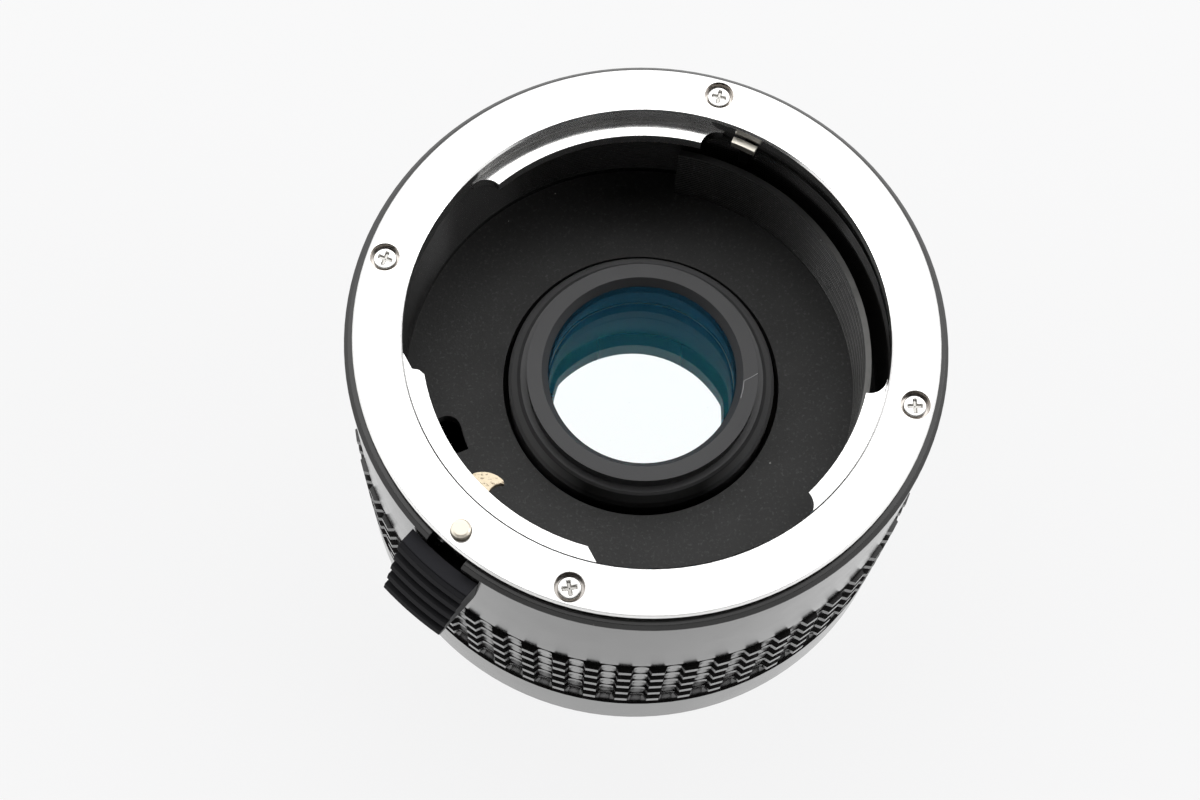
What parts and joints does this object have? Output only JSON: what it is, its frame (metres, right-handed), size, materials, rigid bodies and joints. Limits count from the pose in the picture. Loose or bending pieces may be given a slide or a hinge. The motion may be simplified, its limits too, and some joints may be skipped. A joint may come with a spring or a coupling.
{
  "type": "camera teleconverter",
  "caption": "Camera teleconverter: chromed three-lug bayonets front and rear, ribbed grip, sprung lock pin with side release, aperture and diaphragm couplings, glass in a central barrel.",
  "frame": {"origin": "on the optical axis, in the plane of the rear mounting face (the face that bears on the camera)", "axes": "+Z along the optical axis towards the front mount, where a lens goes on; the lock pin lies at 228.6 degrees about +Z from +X"},
  "size_m": [0.0604, 0.0604, 0.0485],
  "materials": {
    "chrome": "satin chromed brass",
    "steel": "plated steel",
    "bronze": "spring bronze",
    "brass": "nickelled brass, worn",
    "black_enamel": "gloss black enamel",
    "red_enamel": "gloss",
    "black_grip": "satin black anodised",
    "black_plastic": "satin",
    "matt_black": "matt anti-glare black",
    "black_anodised": "satin black anodised",
    "coated_glass": "coated, green and blue reflections",
    "glass": "polished"
  },
  "bodies": {
    "base": {"front_bayonet": "chrome", "front_mount_screws": "steel", "leaf_springs": "bronze", "spring_rivets": "steel", "front_housing": "black_enamel", "index_bead": "red_enamel", "housing_screws": "steel", "grip_ring": "black_grip", "lock_spring": "steel", "baffle_plate": "matt_black", "coupling_spring": "steel", "diaphragm_spring": "steel", "diaphragm_clip": "black_anodised", "lens_barrel": "black_anodised", "barrel_screws": "steel", "front_retaining_ring": "black_anodised", "element_1": "coated_glass", "element_2": "glass", "element_3": "glass", "element_4": "glass", "spacer_1": "black_anodised", "spacer_2": "black_anodised", "rear_retaining_ring": "black_anodised", "rear_housing": "black_enamel", "rear_bayonet": "chrome", "rear_mount_screws": "steel", "rear_guard": "matt_black", "guard_screws": "steel"},
    "release": {"release_button": "black_plastic", "lock_plate": "black_anodised", "lock_pin": "steel", "button_screws": "steel"},
    "coupling": {"coupling_ring": "brass"},
    "diaphragm": {"diaphragm_ring": "brass"}
  },
  "joints": [
    {"name": "release_slide", "type": "slide", "parent": "base", "child": "release", "axis": [0, 0, -1], "range_m": [0, 0.002], "stiffness_N_per_m": 600, "springref_m": -0.002, "deforming": ["lock_spring"]},
    {"name": "coupling_turn", "type": "hinge", "parent": "base", "child": "coupling", "pos_m": [0, 0, 0.0233], "axis": [0, 0, 1], "range_deg": [-45, 0], "stiffness_Nm_per_rad": 0.01, "springref_deg": 22.92},
    {"name": "diaphragm_turn", "type": "hinge", "parent": "base", "child": "diaphragm", "pos_m": [0, 0, 0.0208], "axis": [0, 0, 1], "range_deg": [-18, 0], "stiffness_Nm_per_rad": 0.01, "springref_deg": 22.92}
  ]
}
